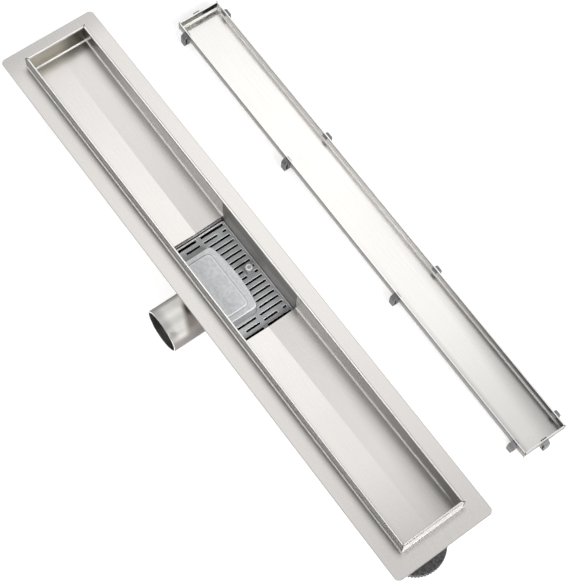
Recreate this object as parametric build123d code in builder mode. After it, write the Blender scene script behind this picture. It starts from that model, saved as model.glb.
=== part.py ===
from build123d import *
import os

os.makedirs("parts", exist_ok=True)

# A linear shower drain for a tiled floor, with its tile-insert cover laid beside it.
# Millimetres. +X runs along the channel, the outlet points to -Y and +Z is up.
# The origin is the centre of the sump's flat underside.

# Sheet metal
sheet = 1.2  # stainless sheet of the channel, the sump and the cover
hem_gap = 0.2  # left between the two leaves of the folded upstand
bend_radius = 3.0  # outside radius of a folded edge
crisp_bend = 1.0  # inside radius where the sheet is pressed sharp

# Flange and upstand
lip_length = 608.0  # over the outside of the upstand
lip_width = 69.4
lip_height = 14.5  # above the flange
lip_thick = 2 * sheet + hem_gap
lip_round = 0.4 * lip_thick  # the rolled top of the fold
flange_end = 20.0  # the flange stands this wide round the upstand's ends
flange_side = 19.3  # and this wide along its sides
flange_length = lip_length + 2 * flange_end
flange_width = lip_width + 2 * flange_side
flange_corner = 5.0

# Outlet
pipe_radius = 22.5
pipe_wall = 1.2
pipe_length = 47.9
pipe_lift = 6.5  # the outlet's lowest line above the sump's underside
pipe_cover = 4.5  # the side plate reaches this far above the outlet
pipe_height = pipe_lift + pipe_radius  # the outlet's axis above the sump's underside

# Trough: its floor falls from both ends to the sump, and a centre crease deepens on the way
window_drop = 4.0  # the sump's side plates reach up to this far below the flange's top
window_top = pipe_height + pipe_radius + pipe_cover
flange_top = window_top + window_drop
edge_depth = 7.7  # flange's top to the floor beside the wall, at the trough's ends
floor_fall = 6.8  # from an end to the sump
floor_dish = 1.8  # at the sump the crease lies this far below the floor's sides
end_dish = 0.2  # and at the trough's ends this far
trough_half = lip_length / 2 - lip_thick
trough_side = lip_width / 2 - lip_thick
sump_half = 59.7  # half the opening in the floor
turned_edge = 4.0  # the floor's down-turned edge at the sump
sump_rim = flange_top - edge_depth - floor_fall - floor_dish - sheet
sump_inner_length = 2 * (sump_half + sheet)

# Strainer: a moulded grille with a bell hanging from a D-shaped opening
grille_drop = 23.0  # from the flange's top to the grille's
grille_top = flange_top - grille_drop
grille_thick = 2.2
grille_gap = 0.7  # between the grille and the sides of the opening
grille_length = 2 * (sump_half - grille_gap)
grille_side = trough_side - grille_gap
grille_corner = 2.0
skirt_wall = 1.4
skirt_drop = 6.0
leg_width = 6.0
slot_rows = 18
side_rows = 3  # of these, the rows beside the cap at each end
row_inset = 2.9  # the outermost row's middle lies this far in from the grille's end
slot_pitch = (grille_length - 2 * row_inset) / (slot_rows - 1)
slot_width = 2.2
edge_slot_width = 3.0
slot_chamfer = 0.4
slot_end = grille_side - 3.0  # how far a slot reaches from the centre line
edge_slot_end = grille_side - 2.2
spine_half = 2.4  # half the solid rib on the centre line
notch_high = slot_end - 4.1  # the second and the last but one row are interrupted from here
notch_low = notch_high - 6.2  # down to here
bell_wall = 1.6
bell_clear = 4.8  # the bell's rim above the sump's floor

# Trap cap: a D in plan, bowed towards the grille and open at the outlet wall
cap_margin = 3.7  # from the cap's side to the middle of the next row of slots
cap_half = (slot_rows / 2 - side_rows + 0.5) * slot_pitch - cap_margin
cap_shoulder = 2.5  # where the straight sides end
cap_crown = 7.0  # the bow's furthest point
cap_corner = 5.0
cap_height = 13.0
cap_wall = 1.6
cap_draft = 3.0  # degrees
cap_edge = 0.8
cap_seat = 2.0  # the cap stands this wide on the grille
rim_gap = 0.3
rim_wall = 1.5
rim_height = 1.0
slot_land = 1.0  # left between the rim and the slots
panel_margin = 6.9  # the panel's ends lie this far in from the cap's sides
panel_length = 2 * (cap_half - panel_margin)
panel_front = -3.2
panel_depth = panel_front + grille_side - 2.2
panel_corner = 5.0
panel_raise = 1.5
panel_edge = 0.4

# Lift post on the grille
post_radius = 3.5
post_bore = 2.1
post_height = 10.0
post_recess = 1.2
post_edge = 0.4
post_shank = 2.5
post_shank_play = 0.15
post_y = grille_side - 11.2
post_pad = 4.3  # the grille is left solid this far round the post

# Outlet housing: plate, spigot and weir scoop in one moulding, with its seal
housing_plate = 2.0
housing_play = 0.3
housing_foot = 4.2  # the plate's lower edge above the sump's underside
seal_thick = 0.9  # the ring fills this gap between the spigot and the outlet's bore
spigot_radius = pipe_radius - pipe_wall - seal_thick
spigot_wall = 2.2
spigot_reach = 20.0
scoop_radius = spigot_radius + 1.4
scoop_wall = 1.6
scoop_depth = 18.0
seal_play = 0.05
seal_width = 5.0
seal_inset = 4.0

# Levelling feet
foot_inset = 8.0  # the feet's axes lie this far in from the trough's ends
foot_x = trough_half - foot_inset
foot_drop = 33.0  # from the sump's underside down to the floor
bracket_width = 30.0
bracket_sheet = 2.0
bracket_web = 10.0  # underside of the bracket's web above the sump's underside
stud_radius = 4.0
stud_play = 0.2
stud_hole = stud_radius + 0.5
stud_top = 31.0
stud_bed = 5.0  # plastic left under the stud
nut_flats = 13.0
nut_height = 6.5
nut_chamfer = 0.6
disc_radius = 30.5
disc_height = 9.0
knurl_count = 60
knurl_depth = 0.9
hub_radius = 12.0
hub_top_radius = 8.5
hub_height = 21.0
pocket_depth = 4.5
pocket_rim = 4.0
rib_count = 6
rib_width = 3.0
stud_seat_play = 0.05

# Cover: a tray for a tile, standing on snapped-in plastic feet
cover_x = -7.5
cover_y = 165.5
cover_turn = -0.8  # degrees: it lies a little askew
tray_end_gap = 5.15  # from the tray to the trough's ends when it is in place
tray_side_gap = 7.1
tray_length = 2 * (trough_half - tray_end_gap)
tray_width = 2 * (trough_side - tray_side_gap)
tray_height = 12.5
tray_bend = 1.6
tray_lift = 5.0  # the feet hold the tray this far off the floor
foot_play = 0.4
foot_end_inset = 15.25  # the outer feet's middles lie this far in from the tray's ends
outer_foot = tray_length / 2 - foot_end_inset
side_foot_places = (outer_foot, outer_foot / 3)
side_foot_reach = 5.6
end_foot_reach = tray_end_gap - foot_play
foot_width = 6.4
foot_wall = 1.6
foot_toe = 4.0  # how far a foot reaches under the tray
slot_play = 0.25
tongue_drop = 3.0  # from the tray's top edge to the tongue's upper face
tongue_thick = 1.4
hook_length = 1.5
hook_rise = 0.8

# Levels and places that follow from the sizes above
ground = -foot_drop
channel_plane = Plane.XY.offset(flange_top)
sump_outer_length = sump_inner_length + 2 * sheet
wall_outside = trough_side + sheet
rear_edge = -grille_side
grille_under = grille_top - grille_thick
bell_rim = sheet + bell_clear
cap_top = grille_top + cap_height
bow_sagitta = cap_crown - cap_shoulder
bow_radius = (cap_half**2 + bow_sagitta**2) / (2 * bow_sagitta)
rim_total = rim_gap + rim_wall
tray_plane = Plane((cover_x, cover_y, ground + tray_lift)).rotated((0, 0, cover_turn))
tray_top = ground + tray_lift + tray_height


def floor_edge(x):
    """Height of the trough's floor beside its wall, at a distance x from the centre."""
    return flange_top - edge_depth - floor_fall * (trough_half - abs(x)) / (trough_half - sump_half)


def cross_plane(x):
    """A plane across the channel, its own x along +Y and its own y along +Z."""
    return Plane(origin=(x, 0, 0), x_dir=(0, 1, 0), z_dir=(1, 0, 0))


def trough_section(x, half_width, top, floor_side, dish):
    """Straight sides and a floor dished to the centre, drawn across the channel at x."""
    with BuildSketch(cross_plane(x)) as section:
        with BuildLine():
            Polyline(
                (-half_width, top),
                (-half_width, floor_side),
                (0, floor_side - dish),
                (half_width, floor_side),
                (half_width, top),
                close=True,
            )
        make_face()
    return section.sketch


def d_face(inset, rear):
    """The cap's outline in plan, drawn in by an inset and closed at the rear."""
    half = cap_half - inset
    shoulder = cap_shoulder - inset
    with BuildSketch() as face:
        with BuildLine():
            Polyline((-half, shoulder), (-half, rear), (half, rear), (half, shoulder))
            ThreePointArc((half, shoulder), (0, cap_crown - inset), (-half, shoulder))
        make_face()
        fillet(face.vertices().group_by(Axis.Y)[-1], cap_corner - inset)
    return face.sketch


# Channel: flange, hemmed upstand, walls and floor are one folded and welded sheet
with BuildPart() as channel_body:
    with BuildSketch(channel_plane.offset(-sheet)):
        RectangleRounded(flange_length, flange_width, flange_corner)
    extrude(amount=sheet)
    with BuildSketch(channel_plane):
        Rectangle(lip_length, lip_width)
    extrude(amount=lip_height)
    upstand_foot = (
        channel_body.edges()
        .filter_by_position(Axis.Z, flange_top, flange_top)
        .filter_by_position(Axis.X, -lip_length / 2, lip_length / 2)
        .filter_by_position(Axis.Y, -lip_width / 2, lip_width / 2)
    )
    fillet(upstand_foot, crisp_bend)
    for side in (1, -1):
        end = trough_half + sheet
        top = flange_top - sheet
        outer = trough_section(side * end, wall_outside, top, floor_edge(end) - sheet, end_dish)
        inner = trough_section(side * sump_half, wall_outside, top, floor_edge(sump_half) - sheet, floor_dish)
        loft([inner, outer], ruled=True)
    with BuildSketch(Plane.XY.offset(window_top)):
        Rectangle(2 * sump_half, 2 * wall_outside)
    extrude(amount=window_drop - sheet)
    # The opening, then the two falling floors
    with BuildSketch(Plane.XY.offset(window_top)):
        Rectangle(2 * trough_half, 2 * trough_side)
    extrude(amount=window_drop + lip_height, mode=Mode.SUBTRACT)
    for side in (1, -1):
        outer = trough_section(side * trough_half, trough_side, window_top, floor_edge(trough_half), end_dish)
        inner = trough_section(side * sump_half, trough_side, window_top, floor_edge(sump_half), floor_dish)
        loft([inner, outer], ruled=True, mode=Mode.SUBTRACT)
    floor_bends = (
        channel_body.edges()
        .filter_by_position(Axis.X, -trough_half, trough_half)
        .filter_by_position(Axis.Y, -trough_side, trough_side)
        .filter_by_position(Axis.Z, floor_edge(sump_half), window_top)
        .filter_by(lambda edge: abs(edge.center().X) > sump_half + sheet and abs(edge.center().Y) > floor_dish)
    )
    fillet(floor_bends, crisp_bend)
    fillet(channel_body.faces().sort_by(Axis.Z)[-1].edges(), lip_round)
    # The floor's edges turn down into the sump
    for side in (1, -1):
        with BuildSketch(cross_plane(side * sump_half)):
            with BuildLine():
                Polyline(
                    (-trough_side, floor_edge(sump_half) - sheet),
                    (0, floor_edge(sump_half) - sheet - floor_dish),
                    (trough_side, floor_edge(sump_half) - sheet),
                    (trough_side, sump_rim - turned_edge),
                    (-trough_side, sump_rim - turned_edge),
                    close=True,
                )
            make_face()
        extrude(amount=side * sheet)

# Sump: a folded tub whose long sides run up to close the trough's walls round the outlet
with BuildPart() as sump_box:
    with BuildSketch():
        Rectangle(sump_outer_length, 2 * wall_outside)
    extrude(amount=sump_rim)
    fillet(sump_box.faces().sort_by(Axis.Z)[0].edges(), bend_radius)
    with BuildSketch(Plane.XY.offset(sheet)):
        Rectangle(sump_inner_length, 2 * trough_side)
    extrude(amount=sump_rim - sheet, mode=Mode.SUBTRACT)
    inner_floor = sump_box.faces().filter_by(Plane.XY).sort_by(Axis.Z)[1]
    fillet(inner_floor.edges(), bend_radius - sheet)
    with BuildSketch(Plane.XY.offset(sump_rim)):
        for side in (1, -1):
            with Locations((0, side * (trough_side + sheet / 2))):
                Rectangle(2 * sump_half, sheet)
    extrude(amount=window_top - sump_rim)
    with BuildSketch(Plane.XZ.offset(trough_side)):
        with Locations((0, pipe_height)):
            Circle(pipe_radius - pipe_wall)
    extrude(amount=sheet, mode=Mode.SUBTRACT)

# Outlet: a tube set on the sump's side plate
with BuildPart() as outlet_pipe:
    with BuildSketch(Plane.XZ.offset(wall_outside)):
        with Locations((0, pipe_height)):
            Circle(pipe_radius)
            Circle(pipe_radius - pipe_wall, mode=Mode.SUBTRACT)
    extrude(amount=pipe_length)

cap_foot = d_face(0, rear_edge)
cap_hollow = d_face(cap_wall, rear_edge - cap_wall)
opening_face = d_face(cap_seat, rear_edge - cap_wall)
bell_outside = d_face(cap_seat - bell_wall, rear_edge)
rim_outside = d_face(-rim_total, rear_edge)
rim_inside = d_face(-rim_gap, rear_edge - cap_wall)


def slot_spans(row, x):
    """The stretches across the drain, as pairs of y, that one row of the grille leaves open."""
    from_end = min(row, slot_rows - 1 - row)
    if from_end == 0:
        return [(spine_half, edge_slot_end), (-edge_slot_end, -spine_half)]
    if from_end == 1:
        right = [(spine_half, notch_low), (notch_high, slot_end)]
        return right + [(-high, -low) for low, high in right]
    if from_end < side_rows:
        return [(spine_half, slot_end), (-slot_end, -spine_half)]
    start = cap_crown - x**2 / (2 * bow_radius) + rim_total + slot_land
    if abs(x) < post_pad:
        return [(start, post_y - post_pad), (post_y + post_pad, slot_end)]
    return [(start, slot_end)]


with BuildPart() as strainer:
    with BuildSketch(Plane.XY.offset(grille_under)):
        RectangleRounded(grille_length, 2 * grille_side, grille_corner)
    extrude(amount=grille_thick)
    with BuildSketch(Plane.XY.offset(grille_under)):
        for row in range(slot_rows):
            row_x = (row - (slot_rows - 1) / 2) * slot_pitch
            width = edge_slot_width if row in (0, slot_rows - 1) else slot_width
            for low, high in slot_spans(row, row_x):
                with Locations((row_x, (low + high) / 2)):
                    Rectangle(width, high - low)
        with Locations((0, post_y)):
            Circle(post_shank + post_shank_play)
    extrude(amount=grille_thick, mode=Mode.SUBTRACT)
    grille_face = strainer.faces().sort_by(Axis.Z)[-1]
    slot_edges = [edge for wire in grille_face.inner_wires() for edge in wire.edges()]
    chamfer([edge for edge in slot_edges if edge.geom_type == GeomType.LINE], slot_chamfer)
    # Skirt round the underside, with a leg standing in each corner of the sump
    with BuildSketch(Plane.XY.offset(grille_under - skirt_drop)):
        RectangleRounded(grille_length, 2 * grille_side, grille_corner)
        Rectangle(grille_length - 2 * skirt_wall, 2 * (grille_side - skirt_wall), mode=Mode.SUBTRACT)
    extrude(amount=skirt_drop)
    with BuildSketch(Plane.XY.offset(sheet)):
        Rectangle(grille_length - 2 * grille_corner, 2 * (grille_side - grille_corner))
        Rectangle(grille_length - 2 * leg_width, 2 * grille_side, mode=Mode.SUBTRACT)
        Rectangle(grille_length, 2 * (grille_side - leg_width), mode=Mode.SUBTRACT)
    extrude(amount=grille_under - sheet)
    # The rim that the cap drops into, the bell below it and the opening through both
    with BuildSketch(Plane.XY.offset(grille_top)):
        add(rim_outside)
        add(rim_inside, mode=Mode.SUBTRACT)
    extrude(amount=rim_height)
    with BuildSketch(Plane.XY.offset(bell_rim)):
        add(bell_outside)
    extrude(amount=grille_under - bell_rim)
    with BuildSketch(Plane.XY.offset(bell_rim)):
        add(opening_face)
    extrude(amount=grille_top - bell_rim, mode=Mode.SUBTRACT)

with BuildPart() as trap_cap:
    with BuildSketch(Plane.XY.offset(grille_top)):
        add(cap_foot)
    extrude(amount=cap_height, taper=cap_draft)
    roof = trap_cap.faces().sort_by(Axis.Z)[-1]
    front_edges = roof.edges().sort_by(Axis.Y)[1:]
    chamfer(front_edges, cap_edge)
    with BuildSketch(Plane.XY.offset(grille_top)):
        add(cap_hollow)
    extrude(amount=cap_height - cap_wall, taper=cap_draft, mode=Mode.SUBTRACT)
    with BuildSketch(Plane.XY.offset(cap_top)):
        with Locations((0, panel_front - panel_depth / 2)):
            RectangleRounded(panel_length, panel_depth, panel_corner)
    extrude(amount=panel_raise)
    chamfer(trap_cap.faces().sort_by(Axis.Z)[-1].edges(), panel_edge)

# Lift post: a pull with a recessed crown, whose shank passes through the grille
with BuildPart() as lift_post:
    with BuildSketch(Plane.XZ.offset(-post_y)):
        with BuildLine():
            Polyline(
                (0, grille_under),
                (post_shank, grille_under),
                (post_shank, grille_top),
                (post_radius, grille_top),
                (post_radius, grille_top + post_height),
                (post_bore, grille_top + post_height),
                (post_bore, grille_top + post_height - post_recess),
                (0, grille_top + post_height - post_recess),
                close=True,
            )
        make_face()
    revolve(axis=Axis((0, post_y, 0), (0, 0, 1)))
    crown = lift_post.faces().sort_by(Axis.Z)[-1]
    chamfer(crown.outer_wire().edges(), post_edge)

# Outlet housing: its plate closes the bell and the cap against the sump's side
plate_half = cap_half - cap_seat - housing_play
plate_rear = trough_side
plate_front = trough_side - housing_plate
plate_top = cap_top - cap_wall - housing_play
draft_shift = cap_height / 15
with BuildPart() as outlet_housing:
    with BuildSketch(Plane.XZ.offset(plate_front)):
        with BuildLine():
            Polyline(
                (-plate_half, housing_foot),
                (plate_half, housing_foot),
                (plate_half, grille_top),
                (plate_half - draft_shift, plate_top),
                (draft_shift - plate_half, plate_top),
                (-plate_half, grille_top),
                close=True,
            )
        make_face()
    extrude(amount=housing_plate)
    with BuildSketch(Plane.XZ.offset(plate_rear)):
        with Locations((0, pipe_height)):
            Circle(spigot_radius)
    extrude(amount=spigot_reach)
    with BuildSketch(Plane.XZ.offset(plate_front - scoop_depth)):
        with BuildLine():
            Line((-scoop_radius, pipe_height), (scoop_radius, pipe_height))
            RadiusArc((scoop_radius, pipe_height), (-scoop_radius, pipe_height), scoop_radius)
        make_face()
    extrude(amount=scoop_depth)
    with BuildSketch(Plane.XZ.offset(plate_front - scoop_depth + scoop_wall)):
        with BuildLine():
            inner = scoop_radius - scoop_wall
            Line((-inner, pipe_height), (inner, pipe_height))
            RadiusArc((inner, pipe_height), (-inner, pipe_height), inner)
        make_face()
    extrude(amount=scoop_depth - scoop_wall, mode=Mode.SUBTRACT)
    with BuildSketch(Plane.XZ.offset(plate_front)):
        with Locations((0, pipe_height)):
            Circle(spigot_radius - spigot_wall)
    extrude(amount=housing_plate + spigot_reach, mode=Mode.SUBTRACT)

# Rubber ring between the spigot and the outlet's bore
with BuildPart() as outlet_seal:
    with BuildSketch(Plane.XZ.offset(plate_rear + spigot_reach - seal_inset - seal_width)):
        with Locations((0, pipe_height)):
            Circle(pipe_radius - pipe_wall - seal_play)
            Circle(spigot_radius + seal_play, mode=Mode.SUBTRACT)
    extrude(amount=seal_width)


def hex_nut(x, low):
    """A hexagon nut on the levelling stud, its lower face at the given height."""
    with BuildPart() as nut:
        with BuildSketch(Plane((x, 0, low))):
            RegularPolygon(nut_flats / 2, 6, major_radius=False)
        extrude(amount=nut_height)
        chamfer(nut.faces().sort_by(Axis.Z)[-1].edges(), nut_chamfer)
        with BuildSketch(Plane((x, 0, low))):
            Circle(stud_radius + stud_play)
        extrude(amount=nut_height, mode=Mode.SUBTRACT)
    return nut


def foot_bracket(x):
    """A strap folded to a U, hugging the trough and welded under the flange."""
    with BuildPart() as bracket:
        with BuildSketch(cross_plane(x)):
            outside = wall_outside + bracket_sheet
            with BuildLine():
                Polyline(
                    (-wall_outside, flange_top - sheet),
                    (-outside, flange_top - sheet),
                    (-outside, bracket_web),
                    (outside, bracket_web),
                    (outside, flange_top - sheet),
                    (wall_outside, flange_top - sheet),
                    (wall_outside, bracket_web + bracket_sheet),
                    (-wall_outside, bracket_web + bracket_sheet),
                    close=True,
                )
            make_face()
        extrude(amount=bracket_width / 2, both=True)
        folds = bracket.edges().filter_by(Axis.X)
        fillet(folds.group_by(Axis.Z)[0], bend_radius)
        with BuildSketch(Plane((x, 0, bracket_web))):
            Circle(stud_hole)
        extrude(amount=bracket_sheet, mode=Mode.SUBTRACT)
    return bracket


def levelling_stud(x):
    """The stud that carries the foot, plain where its thread runs."""
    with BuildPart() as stud:
        with BuildSketch(Plane((x, 0, ground + stud_bed))):
            Circle(stud_radius)
        extrude(amount=stud_top - ground - stud_bed)
    return stud


def levelling_foot(x):
    """A moulded disc with a knurled edge, a hub round the stud and a ribbed underside."""
    foot_plane = Plane((x, 0, ground))
    half_tooth = 180 / knurl_count
    teeth = []
    for tooth in range(knurl_count):
        teeth.append(Vector(disc_radius, 0).rotate(Axis.Z, 2 * tooth * half_tooth))
        teeth.append(Vector(disc_radius - knurl_depth, 0).rotate(Axis.Z, (2 * tooth + 1) * half_tooth))
    with BuildPart() as foot:
        with BuildSketch(foot_plane):
            with BuildLine():
                Polyline(*teeth, close=True)
            make_face()
        extrude(amount=disc_height)
        with BuildSketch(foot_plane):
            Circle(disc_radius - pocket_rim)
            Circle(hub_radius, mode=Mode.SUBTRACT)
            with PolarLocations((disc_radius - pocket_rim + hub_radius) / 2, rib_count):
                Rectangle(disc_radius - pocket_rim - hub_radius + rib_width, rib_width, mode=Mode.SUBTRACT)
        extrude(amount=pocket_depth, mode=Mode.SUBTRACT)
        with BuildSketch(foot_plane.offset(disc_height)):
            Circle(hub_radius)
        with BuildSketch(foot_plane.offset(hub_height)):
            Circle(hub_top_radius)
        loft()
        with BuildSketch(foot_plane.offset(stud_bed)):
            Circle(stud_radius + stud_seat_play)
        extrude(amount=hub_height - stud_bed, mode=Mode.SUBTRACT)
    return foot


# Cover tray, pierced near its top edge where each foot's tongue snaps in
slot_middle = tray_height - tongue_drop - tongue_thick / 2
slot_open = (foot_width + 2 * slot_play, tongue_thick + 2 * slot_play)
with BuildPart() as cover_tray:
    with BuildSketch(tray_plane):
        Rectangle(tray_length, tray_width)
    extrude(amount=tray_height)
    fillet(cover_tray.faces().sort_by(Axis.Z)[0].edges(), tray_bend)
    with BuildSketch(tray_plane.offset(sheet)):
        Rectangle(tray_length - 2 * sheet, tray_width - 2 * sheet)
    extrude(amount=tray_height - sheet, mode=Mode.SUBTRACT)
    tray_floor = cover_tray.faces().filter_by(Plane.XY).sort_by(Axis.Z)[1]
    fillet(tray_floor.edges(), tray_bend - sheet)
    with BuildSketch(Plane(tray_plane.origin, x_dir=tray_plane.x_dir, z_dir=-tray_plane.y_dir)):
        for place in side_foot_places:
            with Locations((place, slot_middle), (-place, slot_middle)):
                Rectangle(*slot_open)
    extrude(amount=tray_width / 2, both=True, mode=Mode.SUBTRACT)
    with BuildSketch(Plane(tray_plane.origin, x_dir=tray_plane.y_dir, z_dir=tray_plane.x_dir)):
        with Locations((0, slot_middle)):
            Rectangle(*slot_open)
    extrude(amount=tray_length / 2, both=True, mode=Mode.SUBTRACT)


def cover_foot(along, across, outward, reach):
    """A clip whose tongue hooks through the tray's wall and whose rounded cheek stands below it.

    Its place is given in the tray's own plane. The profile's own x runs outward from the wall's
    face and its own y runs up.
    """
    wall_point = tray_plane.from_local_coords(Vector(along, across, -tray_plane.origin.Z))
    profile_plane = Plane(origin=wall_point, x_dir=outward, z_dir=outward.cross(tray_plane.z_dir))
    tongue_top = tray_top - tongue_drop
    tongue_low = tongue_top - tongue_thick
    under = ground + tray_lift
    cheek = tongue_top + tongue_thick / 2
    with BuildPart() as foot:
        with BuildSketch(profile_plane):
            with BuildLine():
                Polyline((0, tongue_low), (0, under), (-foot_toe, under), (-foot_toe, ground), (reach, ground))
                Line((reach, ground), (reach, cheek - reach))
                RadiusArc((reach, cheek - reach), (0, cheek), -reach)
                Polyline(
                    (0, cheek),
                    (0, tongue_top),
                    (-sheet - slot_play, tongue_top),
                    (-sheet - slot_play, tongue_top + hook_rise),
                    (-sheet - slot_play - hook_length, tongue_top),
                    (-sheet - slot_play - hook_length, tongue_low),
                    (0, tongue_low),
                )
            make_face()
        extrude(amount=foot_width / 2, both=True)
        with BuildSketch(profile_plane):
            with BuildLine():
                inner = reach - foot_wall
                Polyline((foot_wall, ground + foot_wall), (inner, ground + foot_wall), (inner, cheek - reach))
                RadiusArc((inner, cheek - reach), (foot_wall, cheek - 2 * foot_wall), -inner)
                Line((foot_wall, cheek - 2 * foot_wall), (foot_wall, ground + foot_wall))
            make_face()
        extrude(amount=foot_width, both=True, mode=Mode.SUBTRACT)
    return foot


pieces = {
    "channel_body": channel_body,
    "sump_box": sump_box,
    "outlet_pipe": outlet_pipe,
    "strainer": strainer,
    "trap_cap": trap_cap,
    "lift_post": lift_post,
    "outlet_housing": outlet_housing,
    "outlet_seal": outlet_seal,
    "cover_tray": cover_tray,
}
for name, x in (("right", foot_x), ("left", -foot_x)):
    pieces[f"{name}_bracket"] = foot_bracket(x)
    pieces[f"{name}_weld_nut"] = hex_nut(x, bracket_web + bracket_sheet)
    pieces[f"{name}_lock_nut"] = hex_nut(x, bracket_web - nut_height)
    pieces[f"{name}_stud"] = levelling_stud(x)
    pieces[f"{name}_foot"] = levelling_foot(x)
clip_number = 0
for place in side_foot_places:
    for along in (place, -place):
        for across in (1, -1):
            clip_number += 1
            outward = tray_plane.y_dir * across
            clip = cover_foot(along, across * tray_width / 2, outward, side_foot_reach)
            pieces[f"side_clip_{clip_number}"] = clip
for name, along in (("right", 1), ("left", -1)):
    outward = tray_plane.x_dir * along
    pieces[f"{name}_end_clip"] = cover_foot(along * tray_length / 2, 0, outward, end_foot_reach)

for name, piece in pieces.items():
    piece.part.label = name
    export_step(piece.part, f"parts/{name}.step")
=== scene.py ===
"""Looks for a linear shower drain: a folded steel channel with a trap, and its tile tray cover beside it.

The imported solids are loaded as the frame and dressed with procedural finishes. The pieces that a solid
leaves out, such as weld beads and stud threads, are modelled here and ride with the body that they belong to.
Everything is in metres, with +X along the channel, the outlet towards -Y and +Z up.
"""

from __future__ import annotations

import logging
import math
from dataclasses import dataclass, fields
from enum import Enum
from functools import partial, reduce

import bpy
from mathutils import Matrix, Vector


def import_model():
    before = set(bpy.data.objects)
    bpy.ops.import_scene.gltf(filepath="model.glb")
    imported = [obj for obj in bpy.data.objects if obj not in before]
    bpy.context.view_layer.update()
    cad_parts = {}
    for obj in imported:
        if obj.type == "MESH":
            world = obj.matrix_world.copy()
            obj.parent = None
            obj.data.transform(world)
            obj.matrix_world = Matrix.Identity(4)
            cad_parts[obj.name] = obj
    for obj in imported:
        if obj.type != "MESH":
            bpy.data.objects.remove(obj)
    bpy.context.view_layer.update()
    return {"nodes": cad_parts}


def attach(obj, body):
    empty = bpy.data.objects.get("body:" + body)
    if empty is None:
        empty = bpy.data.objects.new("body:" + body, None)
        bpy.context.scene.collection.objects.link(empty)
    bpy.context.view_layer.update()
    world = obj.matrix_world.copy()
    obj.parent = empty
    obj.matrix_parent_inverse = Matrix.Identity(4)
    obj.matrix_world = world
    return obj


logging.basicConfig(level=logging.INFO, format="%(name)s: %(message)s")
log = logging.getLogger("shower_drain")

Socket = bpy.types.NodeSocket
Value = Socket | float
Place = tuple[float, float, float]
Colour = tuple[float, float, float]
Pair = tuple[float, float]
Inputs = dict[str | int, object]

MM = 0.001
ROOT_BODY = "drain"
FLANGE_END = 20.0 * MM
FLANGE_SIDE = 19.3 * MM
ORIGIN = (0.0, 0.0, 0.0)
TO_X = (0.0, math.pi / 2, 0.0)
TO_Y = (math.pi / 2, 0.0, 0.0)
WHITE = (1.0, 1.0, 1.0)


def mm(*lengths: float) -> tuple[float, ...]:
    """Gives lengths in millimetres as metres."""
    return tuple(length * MM for length in lengths)


class Grain(Enum):
    """The way a sheet was brushed, as the scale of its noise along X, Y and Z."""

    ALONG_X = (8.0, 1500.0, 1500.0)
    ALONG_Y = (900.0, 5.0, 900.0)
    ALONG_Z = (900.0, 900.0, 5.0)
    ROUND = (260.0, 260.0, 260.0)


class Side(Enum):
    """The two ends of the channel, by the word that their parts are named with."""

    LEFT = "left"
    RIGHT = "right"


@dataclass(frozen=True)
class Rim:
    """Where a folded rim runs and how its painted light and shade lie, with its heights measured from its
    crown.

    Painted shade darkens it more and more from near_from to near_to. Where far_let is 1, the far end is let
    off the painted shade inside the rim, other_side is the depth of that painted shade along the wall at -Y,
    and bend is the height of the fold's middle above the floor.
    """

    middle: Place
    turn: float
    half_length: float
    half_width: float
    foot: float
    wall: float
    floor: float
    fall: float = 0.0
    sump: float = 0.0
    near_from: float = 210.0 * MM
    near_to: float = 330.0 * MM
    far_let: float = 0.0
    other_side: float = 0.5
    bend: float = 0.6 * MM

    def sizes(self) -> dict[str, float]:
        """Gives all but its middle and turn, by the names of the painted light's inputs."""
        return {field.name.replace("_", " ").title(): getattr(self, field.name) for field in fields(self)[2:]}

    def place(self) -> Matrix:
        """Gives the way from the rim's own frame to the drain's."""
        return Matrix.Translation(self.middle) @ Matrix.Rotation(self.turn, 4, "Z")


UPSTAND = Rim(
    middle=(0.0, 0.0, 74.5 * MM),
    turn=0.0,
    half_length=304.0 * MM,
    half_width=34.7 * MM,
    foot=-14.5 * MM,
    wall=2.6 * MM,
    floor=-22.2 * MM,
    fall=6.8 / 241.7,
    sump=59.7 * MM,
)
TRAY_WALL = Rim(
    middle=mm(-7.5, 165.5, -15.5),
    turn=math.radians(-0.8),
    half_length=296.25 * MM,
    half_width=25.0 * MM,
    foot=-11.3 * MM,
    wall=1.2 * MM,
    floor=-11.3 * MM,
    near_from=120.0 * MM,
    near_to=420.0 * MM,
    far_let=1.0,
    other_side=1.1,
    bend=1.2 * MM,
)


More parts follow.
